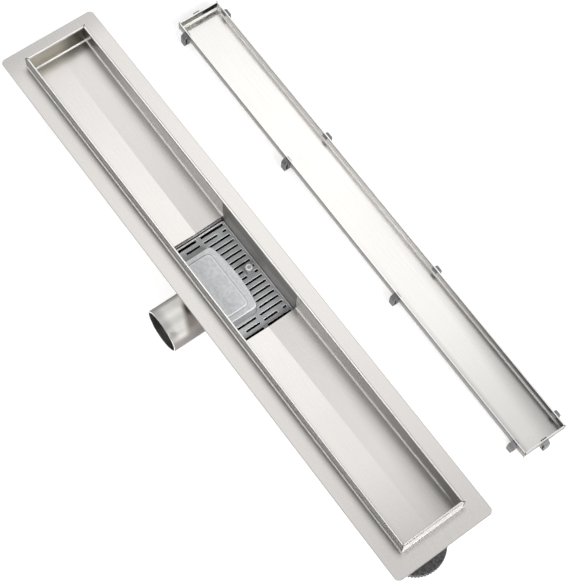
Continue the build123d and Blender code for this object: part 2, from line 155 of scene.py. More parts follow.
class Wiring:
    """A small helper that adds nodes to one node tree and links them."""

    def __init__(self, tree: bpy.types.NodeTree) -> None:
        """Keeps the tree that the nodes go into: a material's, a world's or a group's."""
        self.tree = tree

    def put(self, target: Socket, value: object) -> None:
        """Links an input socket, or sets it.

        Args:
            target: the input socket.
            value: an output socket to link, or a value to set, where a colour has three numbers.
        """
        if isinstance(value, Socket):
            self.tree.links.new(value, target)
        elif target.type == "RGBA":
            target.default_value = (*value, 1.0)
        else:
            target.default_value = value

    def fill(self, node: bpy.types.Node, inputs: Inputs) -> None:
        """Puts sockets or values on a node's inputs, by name or index."""
        for key, value in inputs.items():
            self.put(node.inputs[key], value)

    def add(self, kind: str, inputs: Inputs | None = None, **settings: object) -> bpy.types.Node:
        """Adds a node.

        Args:
            kind: the node's type name.
            inputs: sockets or values for its inputs, by name or index.
            settings: properties of the node itself.

        Returns:
            The new node.
        """
        node = self.tree.nodes.new(kind)
        for name, value in settings.items():
            setattr(node, name, value)
        self.fill(node, inputs or {})
        return node

    def place(self) -> Socket:
        """Gives the place in the object's own coordinates."""
        return self.add("ShaderNodeTexCoord").outputs["Object"]

    def axes(self, place: Socket | None = None) -> list[Socket]:
        """Splits a place into X, Y and Z.

        Args:
            place: the place, or None for the one in the object's own coordinates.

        Returns:
            The three values.
        """
        if place is None:
            place = self.place()
        return list(self.add("ShaderNodeSeparateXYZ", {0: place}).outputs)

    def math(self, operation: str, *terms: Value) -> Socket:
        """Adds a Math node on its terms in order and gives its output."""
        return self.add("ShaderNodeMath", dict(enumerate(terms)), operation=operation).outputs[0]

    def vector(self, operation: str, *terms: object, gives: str = "Vector") -> Socket:
        """Adds a Vector Math node on its terms in order and gives one of its outputs."""
        return self.add("ShaderNodeVectorMath", dict(enumerate(terms)), operation=operation).outputs[gives]

    def scaled(self, colour: Socket, factor: Value) -> Socket:
        """Scales a colour."""
        inputs = {0: colour, "Scale": factor}
        return self.add("ShaderNodeVectorMath", inputs, operation="SCALE").outputs["Vector"]

    def plus(self, first: Value, second: Value) -> Socket:
        """Adds two values."""
        return self.math("ADD", first, second)

    def minus(self, first: Value, second: Value) -> Socket:
        """Takes the second value from the first."""
        return self.math("SUBTRACT", first, second)

    def product(self, *terms: Value) -> Socket:
        """Multiplies any number of values."""
        return reduce(partial(self.math, "MULTIPLY"), terms)

    def largest(self, *terms: Value) -> Socket:
        """Gives the largest of any number of values."""
        return reduce(partial(self.math, "MAXIMUM"), terms)

    def fade(self, value: Value, full: Value, gone: Value) -> Socket:
        """Adds a smooth mask that is 1 up to one value and 0 from another."""
        inputs = {"Value": value, "From Min": full, "From Max": gone, "To Min": 1.0, "To Max": 0.0}
        return self.add("ShaderNodeMapRange", inputs, interpolation_type="SMOOTHSTEP").outputs["Result"]

    def grow(self, value: Value, none: Value, full: Value) -> Socket:
        """Adds a smooth mask that is 0 up to one value and 1 from another."""
        return self.minus(1.0, self.fade(value, none, full))

    def near(self, value: Value, full: Value, gone: Value, at: Value = 0.0) -> Socket:
        """Adds a smooth mask that is 1 within one distance of a value, and 0 past another."""
        return self.fade(self.math("ABSOLUTE", self.minus(value, at)), full, gone)

    def remap(self, value: Value, source: Pair, target: Pair) -> Socket:
        """Maps one range of values evenly onto another, past whose ends it doesn't go."""
        inputs = dict(zip(("From Min", "From Max", "To Min", "To Max"), (*source, *target)))
        return self.add("ShaderNodeMapRange", {"Value": value, **inputs}).outputs["Result"]

    def noise(self, place: Socket, scale: Value, detail: float, roughness: float) -> Socket:
        """Adds a noise and gives its value."""
        inputs = {"Vector": place, "Scale": scale, "Detail": detail, "Roughness": roughness}
        return self.add("ShaderNodeTexNoise", inputs).outputs["Fac"]

    def mix(self, mask: Value, first: Socket | Colour, second: Socket | Colour, blend: str = "MIX") -> Socket:
        """Lays the second colour over the first by a mask and gives the mixed colour."""
        inputs = {"Factor": mask, "A": first, "B": second}
        return self.add("ShaderNodeMix", inputs, data_type="RGBA", blend_type=blend).outputs["Result"]

    def ramp(self, factor: Socket, *stops: tuple[float, Colour]) -> Socket:
        """Adds a colour ramp.

        Args:
            factor: the socket that drives it.
            stops: pairs of place and colour, in rising order.

        Returns:
            The ramp's colour.
        """
        node = self.add("ShaderNodeValToRGB", {"Fac": factor})
        elements = node.color_ramp.elements
        while len(elements) < len(stops):
            elements.new(1.0)
        for element, (place, colour) in zip(elements, stops):
            element.position = place
            element.color = (*colour, 1.0)
        return node.outputs["Color"]


class Effect(Wiring):
    """A shader node group that is wired once and placed in every finish that uses it.

    Each effect gives the group's name, the first values of its inputs, and the wiring of its outputs.
    """

    name: str
    inputs: dict[str, float | tuple[float, ...]]

    def __init__(self, tree: bpy.types.NodeTree) -> None:
        """Takes hold of the inputs that the group's tree has been given."""
        super().__init__(tree)
        self.source = self.add("NodeGroupInput").outputs

    def wire(self) -> dict[str, Socket]:
        """Wires the group and gives its results by name."""
        raise NotImplementedError

    @classmethod
    def group(cls) -> bpy.types.NodeTree:
        """Makes the node group once.

        Returns:
            The group, the same one every time.
        """
        if cls.name in bpy.data.node_groups:
            return bpy.data.node_groups[cls.name]
        tree = bpy.data.node_groups.new(cls.name, "ShaderNodeTree")
        for label, value in cls.inputs.items():
            kind = "NodeSocketFloat" if isinstance(value, float) else "NodeSocketVector"
            tree.interface.new_socket(label, in_out="INPUT", socket_type=kind).default_value = value
        effect = cls(tree)
        results = effect.wire()
        for label in results:
            tree.interface.new_socket(label, in_out="OUTPUT", socket_type="NodeSocketFloat")
        effect.add("NodeGroupOutput", results)
        return tree

    @classmethod
    def use(cls, wiring: Wiring, inputs: Inputs) -> bpy.types.bpy_prop_collection:
        """Places the group in a material with its own inputs and gives its outputs."""
        return wiring.add("ShaderNodeGroup", inputs, node_tree=cls.group()).outputs


class BrushedGrain(Effect):
    """Brushed sheet: long fine scratches, with slow clouds of sheen."""

    name = "brushed grain"
    inputs = {"Stretch": Grain.ALONG_X.value, "Cloud Scale": 9.0}

    def wire(self) -> dict[str, Socket]:
        """Wires the group.

        Returns:
            The Scratch and Cloud values.
        """
        place = self.place()
        stretched = self.vector("MULTIPLY", place, self.source["Stretch"])
        return {
            "Scratch": self.noise(stretched, 1.0, detail=4.0, roughness=0.62),
            "Cloud": self.noise(place, self.source["Cloud Scale"], detail=3.0, roughness=0.5),
        }


class MouldedGrain(Effect):
    """Moulded plastic: a fine spark-eroded grain with faint flow marks."""

    name = "moulded grain"
    inputs = {"Grain Scale": 1800.0, "Flow Scale": 45.0}

    def wire(self) -> dict[str, Socket]:
        """Wires the group.

        Returns:
            The Flow and Height values.
        """
        place = self.place()
        return {
            "Flow": self.noise(place, self.source["Flow Scale"], detail=3.0, roughness=0.55),
            "Height": self.noise(place, self.source["Grain Scale"], detail=2.0, roughness=0.7),
        }


class SlotDepth(Effect):
    """Depth: what lies under a moulded top is painted dark as shade, and the top's edges are painted pale as
    a highlight.
    """

    name = "slot depth"
    inputs = {"Top": 37.0 * MM, "Rubbed": 0.4 * MM}
    UNDER_TOP = mm(0.03, 0.06)
    DARKENING = mm(0.0, 0.6)

    def wire(self) -> dict[str, Socket]:
        """Wires the group.

        Returns:
            An Edge mask just under the top and a Deep mask further down.
        """
        below = self.minus(self.source["Top"], self.axes()[2])
        rubbed = self.source["Rubbed"]
        return {
            "Edge": self.product(self.grow(below, *self.UNDER_TOP), self.math("LESS_THAN", below, rubbed)),
            "Deep": self.grow(self.minus(below, rubbed), *self.DARKENING),
        }


class PanelEdge(Effect):
    """A raised panel's outline: a painted highlight on its edge and a painted shadow line outside it."""

    name = "panel edge"
    inputs = {"Middle": ORIGIN, "Half": ORIGIN, "Corner": 5.0 * MM}
    RIDGE = mm(0.25, 0.6)
    RIDGE_AT = -0.35 * MM
    GROOVE = mm(0.3, 0.9)
    GROOVE_AT = 0.7 * MM

    def wire(self) -> dict[str, Socket]:
        """Wires the group, from the distance to the panel's round-cornered outline.

        Returns:
            The masks of the painted highlight on the edge and of the painted shadow line outside it.
        """
        corner = self.source["Corner"]
        from_middle = self.vector("SUBTRACT", self.place(), self.source["Middle"])
        past_half = self.vector("SUBTRACT", self.vector("ABSOLUTE", from_middle), self.source["Half"])
        past = [self.plus(way, corner) for way in self.axes(past_half)[:2]]
        squares = [self.math("POWER", self.largest(way, 0.0), 2.0) for way in past]
        round_part = self.math("SQRT", self.plus(*squares))
        flat_part = self.math("MINIMUM", self.largest(*past), 0.0)
        distance = self.minus(self.plus(round_part, flat_part), corner)
        return {
            "Ridge": self.near(distance, *self.RIDGE, at=self.RIDGE_AT),
            "Groove": self.near(distance, *self.GROOVE, at=self.GROOVE_AT),
        }


class RimLightAndShade(Effect):
    """A folded rim's painted light and shade: painted highlight lines on its crown, foot and bend, and
    painted shade in its lee.

    Its Place is measured from the middle of the rim's crown, so it fits the channel's upstand and the tray's
    wall alike. The painted shade spreads towards the near end.
    """

    name = "rim wear"
    inputs = {"Place": ORIGIN, **UPSTAND.sizes()}

    CLEAR_OF = mm(0.3, 0.9)
    ON_SKIN = mm(0.25, 0.45)
    WITHIN = mm(0.1, 0.3)
    WORN = mm(0.0, 300.0)
    CROWN_TOP = mm(-1.2, -0.7)
    CROWN_LINE = mm(0.4, 0.8)
    CROWN_SHARE = 0.62
    FOOT_TOP = mm(1.8, 2.8)
    FOOT_BASE = mm(-0.4, -0.2)
    FOOT_REACH = mm(0.5, 1.0)
    BEND_REACH = mm(0.9, 1.4)
    BEND_DEPTH = 0.95
    LEE = mm(0.0, 10.0)
    LEE_END = mm(-6.0, 2.0)
    SUNK = mm(-4.0, -2.6)
    NEAR_END = mm(-3.0, -2.0)
    SIDE_BAY = mm(0.0, 16.0)
    END_BAY = mm(0.0, 9.0)
    OTHER_BAY = mm(0.0, 10.0)
    BAY_SPREAD = mm(60.0, 300.0)
    BAY_SPREAD_DEPTH = 0.45
    LET_OFF = mm(-50.0, 250.0)
    RIPPLE = mm(0.3, 1.7)
    RIPPLE_AT = 6.2 * MM
    RIPPLE_DEPTH = 0.9
    BAND = mm(-3.4, -2.2)
    BAND_REACH = mm(1.2, 1.8)
    BAND_DEPTH = 0.9
    FACE_FROM = mm(1.2, 1.8)
    FACE_SKIN = mm(0.3, 0.5)
    ON_FLANGE = mm(0.2, 0.5)
    FAR_STRIP = mm(-322.0, -284.0)
    FAR_STRIP_DEPTH = 0.20
    NEAR_STRIP = mm(1.0, 9.0)
    NEAR_STRIP_SIDE = mm(-2.0, 3.0)
    NEAR_STRIP_DEPTH = 0.28
    NEAR_DEPTH = 0.09
    NEAR_INSIDE_DEPTH = 0.13
    LIP = mm(-0.9, -0.5)
    LIP_DEPTH = 0.32
    BELOW_EDGE = mm(-2.0, -1.2)
    GLOW_FROM = mm(-290.0, -190.0)
    WALL_NEAR_SHADE = mm(40.0, 240.0)

    def __init__(self, tree: bpy.types.NodeTree) -> None:
        """Measures how far a place lies from the rim's parts.

        Args:
            tree: the group's node tree, which has its input sockets.
        """
        super().__init__(tree)
        source = self.source
        self.x, self.y, self.z = self.axes(source["Place"])
        inner_side = self.minus(source["Half Width"], source["Wall"])
        self.past_end = self.minus(self.math("ABSOLUTE", self.x), source["Half Length"])
        self.past_side = self.minus(self.math("ABSOLUTE", self.y), source["Half Width"])
        self.outside = self.largest(self.past_end, self.past_side)
        self.above_foot = self.minus(self.z, source["Foot"])
        self.from_side = self.minus(inner_side, self.y)
        self.from_other = self.plus(inner_side, self.y)
        self.from_end = self.plus(self.minus(source["Half Length"], source["Wall"]), self.x)
        from_crown = self.math("MULTIPLY_ADD", source["Wall"], self.CROWN_SHARE, self.outside)
        self.crown = self.product(self.grow(self.z, *self.CROWN_TOP), self.near(from_crown, *self.CROWN_LINE))
        self.inside = self.product(
            *(self.grow(way, *self.CLEAR_OF) for way in (self.from_side, self.from_other, self.from_end)),
            self.fade(self.past_end, *self.NEAR_END),
            self.fade(self.z, *self.SUNK),
        )

    def shine(self) -> Socket:
        """Masks the painted highlight lines.

        Returns:
            The mask of the crown, of the foot and of the bend into the floor.
        """
        wall, bend = self.source["Wall"], self.source["Bend"]
        foot = self.product(
            self.fade(self.above_foot, *self.FOOT_TOP),
            self.grow(self.above_foot, *self.FOOT_BASE),
            self.near(self.outside, *self.FOOT_REACH),
        )
        run_in = self.product(self.plus(self.past_end, wall), self.source["Fall"])
        above_floor = self.minus(self.z, self.plus(self.source["Floor"], run_in))
        in_bend = self.near(above_floor, bend, self.product(bend, 2.0), at=bend)
        at_wall = self.near(self.plus(self.outside, wall), *self.BEND_REACH)
        return self.largest(self.crown, foot, self.product(in_bend, at_wall, self.BEND_DEPTH))

    def bay_shade(self) -> Socket:
        """Masks the painted shade along the walls inside the rim.

        Returns:
            The mask, which is let off towards the far end where Far Let is 1, apart from a painted dark
            stripe there.
        """
        far_let = self.source["Far Let"]
        spread = self.minus(1.0, self.product(self.grow(self.x, *self.BAY_SPREAD), self.BAY_SPREAD_DEPTH))
        bay = self.largest(
            self.fade(self.product(self.from_side, spread), *self.SIDE_BAY),
            self.fade(self.from_end, *self.END_BAY),
            self.product(self.fade(self.from_other, *self.OTHER_BAY), self.source["Other Side"]),
        )
        kept = self.minus(1.0, self.product(self.fade(self.x, *self.LET_OFF), far_let))
        ripple = self.near(self.from_end, *self.RIPPLE, at=self.RIPPLE_AT)
        return self.largest(
            self.product(bay, self.inside, kept),
            self.product(ripple, self.inside, far_let, self.RIPPLE_DEPTH),
        )

    def shade(self) -> Socket:
        """Masks the painted shade in the lee.

        Returns:
            The mask of the painted shadow on the flange's strip beside the foot, of the bay's painted shade
            and of the painted dark band below the crown.
        """
        lee = self.minus(self.product(self.y, -1.0), self.source["Half Width"])
        lee_shade = self.product(
            self.fade(lee, *self.LEE), self.grow(lee, *self.CLEAR_OF), self.fade(self.past_end, *self.LEE_END)
        )
        below_crown = self.product(self.grow(self.z, *self.BAND), self.BAND_DEPTH)
        band = self.product(self.minus(below_crown, self.crown), self.near(self.outside, *self.BAND_REACH))
        return self.largest(lee_shade, self.bay_shade(), band)

    def face(self) -> Socket:
        """Masks the rim's outer face between its foot and its crown."""
        risen = self.grow(self.above_foot, *self.FACE_FROM)
        return self.product(self.near(self.outside, *self.FACE_SKIN), risen, self.minus(1.0, self.crown))

    def handled(self) -> Socket:
        """Masks painted shade towards the near end and at the flange's ends, and a darker line along the
        flange's outer edge.

        Returns:
            The mask of the near end, of a strip of the flange at each end, and of the flange's lip.
        """
        near_end = self.grow(self.x, self.source["Near From"], self.source["Near To"])
        near_depth = self.math("MULTIPLY_ADD", self.inside, self.NEAR_INSIDE_DEPTH, self.NEAR_DEPTH)
        on_flange = self.fade(self.above_foot, *self.ON_FLANGE)
        far_strip = self.product(
            self.fade(self.x, *self.FAR_STRIP),
            self.grow(self.outside, *self.CLEAR_OF),
            on_flange,
            self.FAR_STRIP_DEPTH,
        )
        near_out = self.minus(self.x, self.source["Half Length"])
        near_strip = self.product(
            self.grow(near_out, *self.CLEAR_OF),
            self.fade(near_out, *self.NEAR_STRIP),
            self.fade(self.past_side, *self.NEAR_STRIP_SIDE),
            on_flange,
            self.NEAR_STRIP_DEPTH,
        )
        past_edges = (self.minus(self.past_end, FLANGE_END), self.minus(self.past_side, FLANGE_SIDE))
        lip = self.product(self.grow(self.largest(*past_edges), *self.LIP), self.LIP_DEPTH)
        return self.largest(self.product(near_end, near_depth), far_strip, near_strip, lip)

    def walls(self) -> dict[str, Socket]:
        """Masks the inner faces of the walls.

        Returns:
            Glow, the satin part of the long wall; Matt, that wall over the sump; Wall, its part towards the
            near end; and
            End, the far end's wall. Matt, Wall and End mark where shade is painted.
        """
        below_edge = self.fade(self.z, *self.BELOW_EDGE)
        long_wall, end_wall = (
            self.product(
                self.near(distance, *self.ON_SKIN),
                below_edge,
                self.fade(self.plus(past, self.source["Wall"]), *self.WITHIN),
            )
            for distance, past in ((self.from_side, self.past_end), (self.from_end, self.past_side))
        )
        clear = self.math("GREATER_THAN", self.math("ABSOLUTE", self.x), self.source["Sump"])
        started = self.largest(self.grow(self.x, *self.GLOW_FROM), self.source["Far Let"])
        return {
            "Glow": self.product(long_wall, clear, started, self.fade(self.x, *self.WORN)),
            "Matt": self.product(long_wall, self.minus(1.0, clear)),
            "Wall": self.product(long_wall, self.grow(self.x, *self.WALL_NEAR_SHADE)),
            "End": end_wall,
        }

    def wire(self) -> dict[str, Socket]:
        """Wires the group.

        Returns:
            Shine masks the painted highlights, and the mask after it says how far along they are painted
            dimmer.
            Shade masks the painted shade in the lee, Face the rim's outer face and Near the painted shade
            towards the near end, and the walls have their own masks.
        """
        return {
            "Shine": self.shine(),
            "Worn": self.grow(self.x, *self.WORN),
            "Shade": self.shade(),
            "Face": self.face(),
            "Near": self.handled(),
            **self.walls(),
        }


class Coat(Wiring):
    """The wiring of one material round its Principled shader, with its colour and roughness so far."""

    SHEEN = (0.3, 0.7)
    tint: Socket
    gloss: Socket

    def __init__(self, name: str) -> None:
        """Makes the material with its shader and output.

        Args:
            name: the material's name.
        """
        self.material = bpy.data.materials.new(name)
        self.material.use_nodes = True
        self.material.node_tree.nodes.clear()
        super().__init__(self.material.node_tree)
        self.shader = self.add("ShaderNodeBsdfPrincipled")
        self.output = self.add("ShaderNodeOutputMaterial", {"Surface": self.shader.outputs["BSDF"]})

    def set(self, **inputs: object) -> None:
        """Puts sockets or values on the shader's inputs, whose names have underlines for spaces."""
        self.fill(self.shader, {name.replace("_", " "): value for name, value in inputs.items()})

    def lay(self, mask: Socket, colour: Socket | Colour, blend: str = "MIX") -> None:
        """Lays a colour over the coat by a mask."""
        self.tint = self.mix(mask, self.tint, colour, blend)

    def surface(self, sheen: Socket, gloss: Pair, grain: Socket, bump: float, depth: float) -> None:
        """Varies the gloss over the surface and raises its grain.

        Args:
            sheen: a slow value that the gloss follows.
            gloss: the roughness where the sheen is low and where it is high.
            grain: the fine value that is raised.
            bump: how strongly it is raised.
            depth: the height of the grain.
        """
        self.gloss = self.remap(sheen, self.SHEEN, gloss)
        raised = self.add("ShaderNodeBump", {"Strength": bump, "Distance": depth, "Height": grain})
        self.set(Normal=raised.outputs["Normal"])


@dataclass(frozen=True)
class Finish:
    """What a piece wears."""

    name: str

    def dress(self, coat: Coat) -> None:
        """Wires the finish in a new material's coat."""
        raise NotImplementedError

    def material(self) -> bpy.types.Material:
        """Builds the finish once.

        Returns:
            Its material, the same one every time.
        """
        if self.name not in bpy.data.materials:
            coat = Coat(self.name)
            self.dress(coat)
            coat.set(Base_Color=coat.tint, Roughness=coat.gloss)
        return bpy.data.materials[self.name]


@dataclass(frozen=True)
class SheetSteel(Finish):
    """Brushed stainless sheet."""

    grain: Grain = Grain.ALONG_X
    dark: Colour = (0.775, 0.748, 0.722)
    light: Colour = (0.845, 0.815, 0.788)
    smooth: float = 0.22
    rough: float = 0.33
    bump: float = 0.05
    cloud_share: float = 0.45
    tint_span: Pair = (0.32, 0.68)
    scratch_depth: float = 0.08 * MM

    def dress(self, coat: Coat) -> None:
        """Wires the sheet and what marks it.

        Args:
            coat: the material's wiring.
        """
        grain = BrushedGrain.use(coat, {"Stretch": self.grain.value})
        scratches = coat.product(grain["Scratch"], 1.0 - self.cloud_share)
        sheen = coat.math("MULTIPLY_ADD", grain["Cloud"], self.cloud_share, scratches)
        coat.tint = coat.ramp(sheen, *zip(self.tint_span, (self.dark, self.light)))
        gloss = (self.smooth, self.rough)
        coat.surface(sheen, gloss, grain["Scratch"], self.bump, self.scratch_depth)
        coat.set(Metallic=1.0)
        self.mark(coat)

    def mark(self, coat: Coat) -> None:
        """Leaves plain sheet as it is."""


@dataclass(frozen=True)
class TubeSteel(SheetSteel):
    """Drawn tube with painted shade: darker underneath, a brown painted shadow by its root under the flange,
    darker towards its mouth, and darker and less metallic on its flanks.
    """

    axis: float = 29.0 * MM
    shell: float = 22.0 * MM
    heat: Pair = mm(25.0, 44.0)
    heat_colour: Colour = (0.30, 0.275, 0.285)
    burn: Pair = mm(-59.0, -51.5)
    burn_skew: float = 0.45
    burn_depth: float = 0.8
    burn_colour: Colour = (0.19, 0.155, 0.140)
    mouth: Pair = mm(-79.0, -70.0)
    mouth_shade_depth: float = 0.45
    mouth_shade_colour: Colour = (0.26, 0.26, 0.25)
    flank: Pair = mm(14.5, 22.0)
    flank_lean: float = -0.35
    flank_shift: float = 2.0 * MM
    flank_metal: float = 0.85
    level: float = 0.5
    flank_level: float = -0.45
    flank_shade_colour: Colour = (0.23, 0.212, 0.212)

    def mark(self, coat: Coat) -> None:
        """Paints shade on the tube: darker downwards, a brown shadow by its root under the flange, darker
        towards its mouth, and darker and less metallic on its flanks.

        Args:
            coat: the material's wiring.
        """
        x, y, z = coat.axes()
        rise = coat.minus(z, self.axis)
        from_axis = coat.math("SQRT", coat.math("MULTIPLY_ADD", x, x, coat.product(rise, rise)))
        outer = coat.math("GREATER_THAN", from_axis, self.shell)
        aside = coat.math("MULTIPLY_ADD", rise, self.flank_lean, coat.plus(x, self.flank_shift))
        flank = coat.product(coat.grow(coat.math("ABSOLUTE", aside), *self.flank), outer)
        skewed = coat.math("MULTIPLY_ADD", x, self.burn_skew, y)
        # Painted shade underneath, painted shadow by the root, painted shade towards the mouth and on the
        # flanks.
        for mask, colour in (
            (coat.fade(z, *self.heat), self.heat_colour),
            (coat.product(coat.grow(skewed, *self.burn), self.burn_depth), self.burn_colour),
            (coat.product(coat.fade(y, *self.mouth), self.mouth_shade_depth), self.mouth_shade_colour),
            (flank, self.flank_shade_colour),
        ):
            coat.lay(mask, colour)
        metal = coat.minus(1.0, coat.product(flank, self.flank_metal))
        level = coat.math("MULTIPLY_ADD", flank, self.flank_level, self.level)
        coat.set(Metallic=metal, Specular_IOR_Level=level)


@dataclass(frozen=True)
class TubSteel(SheetSteel):
    """Sheet of a tub whose inside is painted dark as shade below a level."""

    deep_from: float = 33.0 * MM
    half_length: float = 61.5 * MM
    half_width: float = 32.7 * MM
    skin: float = 0.6 * MM
    silt: Colour = (0.030, 0.030, 0.030)

    def mark(self, coat: Coat) -> None:
        """Paints the tub's inside dark as shade.

        Args:
            coat: the material's wiring.
        """
        depth = SlotDepth.use(coat, {"Top": self.deep_from})
        x, y, z = coat.axes()
        # Painted shade: the inside below the level is painted near black, so that the grille's slots look
        # dark.
        shaded_inside = coat.product(
            depth["Deep"],
            coat.math("LESS_THAN", coat.math("ABSOLUTE", x), self.half_length),
            coat.math("LESS_THAN", coat.math("ABSOLUTE", y), self.half_width),
            coat.math("GREATER_THAN", z, self.skin),
        )
        coat.lay(shaded_inside, self.silt)


@dataclass(frozen=True)
class RimSteel(SheetSteel):
    """Sheet with a folded rim that has painted highlights on its folds and painted shade in its lee."""

    rim: Rim = UPSTAND
    # These set the painted light: how much of the colour the painted shade leaves or takes off in the lee, on
    # the outer face and on the walls, how strong the painted highlight lines are and their colours, and the
    # olive tint of the far end's painted shade.
    dull: float = 0.66
    face_dull: float = 1.0
    rub: float = 0.9
    glow: float = 0.58
    end_dull: float = 0.27
    end_corner: Pair = mm(-2.0, 16.0)
    end_corner_gain: float = 1.6
    wall_dull: float = 0.0
    matt_dull: float = 0.22
    matt_rough: float = 0.25
    olive: Colour = (0.98, 0.98, 0.86)
    line: Colour = (0.92, 0.91, 0.89)
    worn_line: Colour = (0.62, 0.61, 0.60)
    rub_satin: float = 0.8
    near_satin: float = 0.7
    near_skin: float = 0.5 * MM

    def mark(self, coat: Coat) -> None:
        """Paints highlights on the rim's folds and shade in its lee and on its walls, and turns some of it
        satin.

        Args:
            coat: the material's wiring.
        """
        inputs = {"Vector": coat.place(), "Location": self.rim.middle, "Rotation": (0.0, 0.0, self.rim.turn)}
        centre = coat.add("ShaderNodeMapping", inputs, vector_type="TEXTURE").outputs["Vector"]
        masks = RimLightAndShade.use(coat, {"Place": centre, **self.rim.sizes()})
        x, y, _ = coat.axes(centre)
        corner = coat.grow(y, *self.end_corner)
        # Painted shade: each mask darkens the colour by its depth: the lee, the rim's outer face, the near
        # end, the far end's wall (most in its +Y corner), the wall over the sump and the long wall towards
        # the near end.
        depths = {
            "Shade": 1.0 - self.dull,
            "Face": 1.0 - self.face_dull,
            "Near": 1.0,
            "End": coat.math("MULTIPLY_ADD", corner, self.end_corner_gain * self.end_dull, self.end_dull),
            "Matt": self.matt_dull,
            "Wall": self.wall_dull,
        }
        kept = [coat.minus(1.0, coat.product(masks[name], depth)) for name, depth in depths.items()]
        coat.tint = coat.scaled(coat.tint, coat.product(*kept))
        # The far end's painted shade is tinted olive.
        coat.lay(masks["End"], self.olive, blend="MULTIPLY")
        # Painted highlight lines on the folds, painted dimmer towards the near end.
        rub = coat.product(masks["Shine"], self.rub)
        coat.lay(rub, coat.mix(masks["Worn"], self.line, self.worn_line))
        near_face = coat.grow(x, self.rim.half_length - self.near_skin, self.rim.half_length)
        satin = coat.largest(
            coat.product(rub, self.rub_satin),
            coat.product(masks["Glow"], self.glow),
            coat.product(masks["Face"], near_face, self.near_satin),
        )
        coarse = coat.largest(masks["Matt"], masks["Face"])
        coat.gloss = coat.math("MULTIPLY_ADD", coarse, self.matt_rough, coat.gloss)
        coat.set(Metallic=coat.minus(1.0, satin))


@dataclass(frozen=True)
class Panel:
    """A raised panel with round corners, by its middle and half sizes in plan."""

    middle: Pair
    half: Pair
    corner: float

    def inputs(self) -> Inputs:
        """Gives its sizes by the names of the outline's inputs."""
        return {"Middle": (*self.middle, 0.0), "Half": (*self.half, 0.0), "Corner": self.corner}


@dataclass(frozen=True)
class Plastic(Finish):
    """Moulded plastic."""

    dark: Colour
    light: Colour
    roughness: float = 0.45
    grain_scale: float = 1800.0
    flow_scale: float = 45.0
    bump: float = 0.10
    # Painted light: the band just under the top is painted pale as a highlight, what lies deeper is painted
    # dark as shade, and the panel's outline gets a painted highlight and a painted shadow line.
    top: float | None = None
    rubbed: Colour = (0.60, 0.61, 0.62)
    rubbed_depth: float = 0.25 * MM
    deep: Colour = (0.012, 0.012, 0.012)
    panel: Panel | None = None
    scuffed: Pair | None = None
    paler_depth: float = 0.38
    tint_span: Pair = (0.35, 0.65)
    gloss_span: Pair = (-0.05, 0.08)
    grain_depth: float = 0.06 * MM

    def deepen(self, coat: Coat) -> None:
        """Paints the edges under the top pale as a highlight, paints what lies deeper dark as shade and draws
        the panel's outline as a painted highlight and shadow line.

        Args:
            coat: the material's wiring.
        """
        # Lighter towards -Y where a paler side is given, in the same pale tone as the painted highlights.
        if self.scuffed:
            paler = coat.product(coat.fade(coat.axes()[1], *self.scuffed), self.paler_depth)
            coat.lay(paler, self.rubbed)
        depth = SlotDepth.use(coat, {"Top": self.top, "Rubbed": self.rubbed_depth})
        coat.lay(depth["Edge"], self.rubbed)
        coat.lay(depth["Deep"], self.deep)
        if self.panel:
            outline = PanelEdge.use(coat, self.panel.inputs())
            coat.lay(outline["Ridge"], self.rubbed)
            coat.lay(outline["Groove"], self.deep)

    def dress(self, coat: Coat) -> None:
        """Wires the plastic and its wear.

        Args:
            coat: the material's wiring.
        """
        grain = MouldedGrain.use(coat, {"Grain Scale": self.grain_scale, "Flow Scale": self.flow_scale})
        coat.tint = coat.ramp(grain["Flow"], *zip(self.tint_span, (self.dark, self.light)))
        gloss = tuple(self.roughness + change for change in self.gloss_span)
        coat.surface(grain["Flow"], gloss, grain["Height"], self.bump, self.grain_depth)
        if self.top:
            self.deepen(coat)


SHEET = SheetSteel("brushed sheet steel")
SUMP = TubSteel("sump steel", grain=Grain.ALONG_Z, smooth=0.42, rough=0.56)
# The channel's and the tray's steels paint highlights on their rims' folds and shade in their lees and along
# their walls.
CHANNEL = RimSteel("brushed channel steel")
TRAY = RimSteel(
    "brushed tray steel",
    dark=(0.88, 0.86, 0.835),
    light=(0.92, 0.90, 0.875),
    bump=0.02,
    rim=TRAY_WALL,
    face_dull=0.40,
    rub=0.97,
    glow=1.0,
    dull=0.58,
    end_dull=0.55,
    wall_dull=0.45,
)
TUBE = TubeSteel(
    "drawn tube steel",
    grain=Grain.ALONG_Y,
    dark=(0.87, 0.85, 0.81),
    light=(0.98, 0.96, 0.915),
    smooth=0.34,
    rough=0.40,
    bump=0.01,
)
BRIGHT = SheetSteel("bright cut edge", Grain.ROUND, (0.90, 0.89, 0.87), (0.96, 0.95, 0.93), 0.18, 0.26)
WELD = SheetSteel("weld bead", Grain.ROUND, (0.26, 0.24, 0.22), (0.46, 0.44, 0.41), 0.36, 0.55, 0.4)
ZINC = SheetSteel("zinc plated steel", Grain.ROUND, (0.55, 0.55, 0.53), (0.70, 0.70, 0.68), 0.32, 0.46)
# A near-black plastic that stands in for the shadow in the mitres' gaps.
SEAM_SHADOW = Plastic("seam shadow", (0.045, 0.042, 0.040), (0.075, 0.070, 0.066), roughness=0.6)
# Painted highlights on the slots' top edges and the grille's outline, painted shade in the slots and a
# painted shadow line outside the outline; lighter towards -Y.
GRILLE = Plastic(
    "grey grille plastic",
    (0.30, 0.305, 0.31),
    (0.37, 0.375, 0.38),
    top=37.0 * MM,
    rubbed=(0.74, 0.75, 0.76),
    rubbed_depth=0.5 * MM,
    scuffed=mm(-18.0, 6.0),
    panel=Panel(mm(0.0, 0.0), mm(59.0, 31.4), 2.0 * MM),
)
